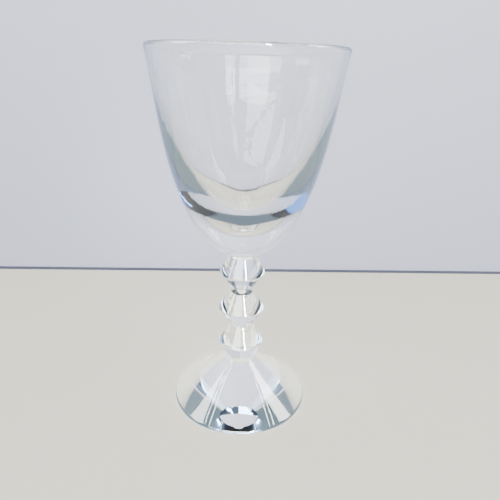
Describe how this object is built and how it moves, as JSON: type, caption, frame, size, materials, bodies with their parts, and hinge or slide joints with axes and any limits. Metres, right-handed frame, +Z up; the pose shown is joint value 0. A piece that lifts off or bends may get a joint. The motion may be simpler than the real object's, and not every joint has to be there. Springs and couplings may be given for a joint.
{
  "type": "wine glass",
  "caption": "Clear crystal stemware goblet with a thick-based tulip bowl, a stem of three double-cone knops and a round conical foot.",
  "frame": {"origin": "centre of the foot's flat underside, where the glass stands", "axes": "+Z up along the glass's axis; the glass is a body of revolution, so -Y is only the side seen in the picture"},
  "size_m": [0.09, 0.09, 0.185],
  "materials": {
    "bowl_glass": "clear polished crystal",
    "stem_glass": "clear polished crystal",
    "foot_glass": "clear polished crystal"
  },
  "bodies": {
    "root": {"bowl": "bowl_glass", "stem": "stem_glass", "foot": "foot_glass"}
  },
  "joints": []
}
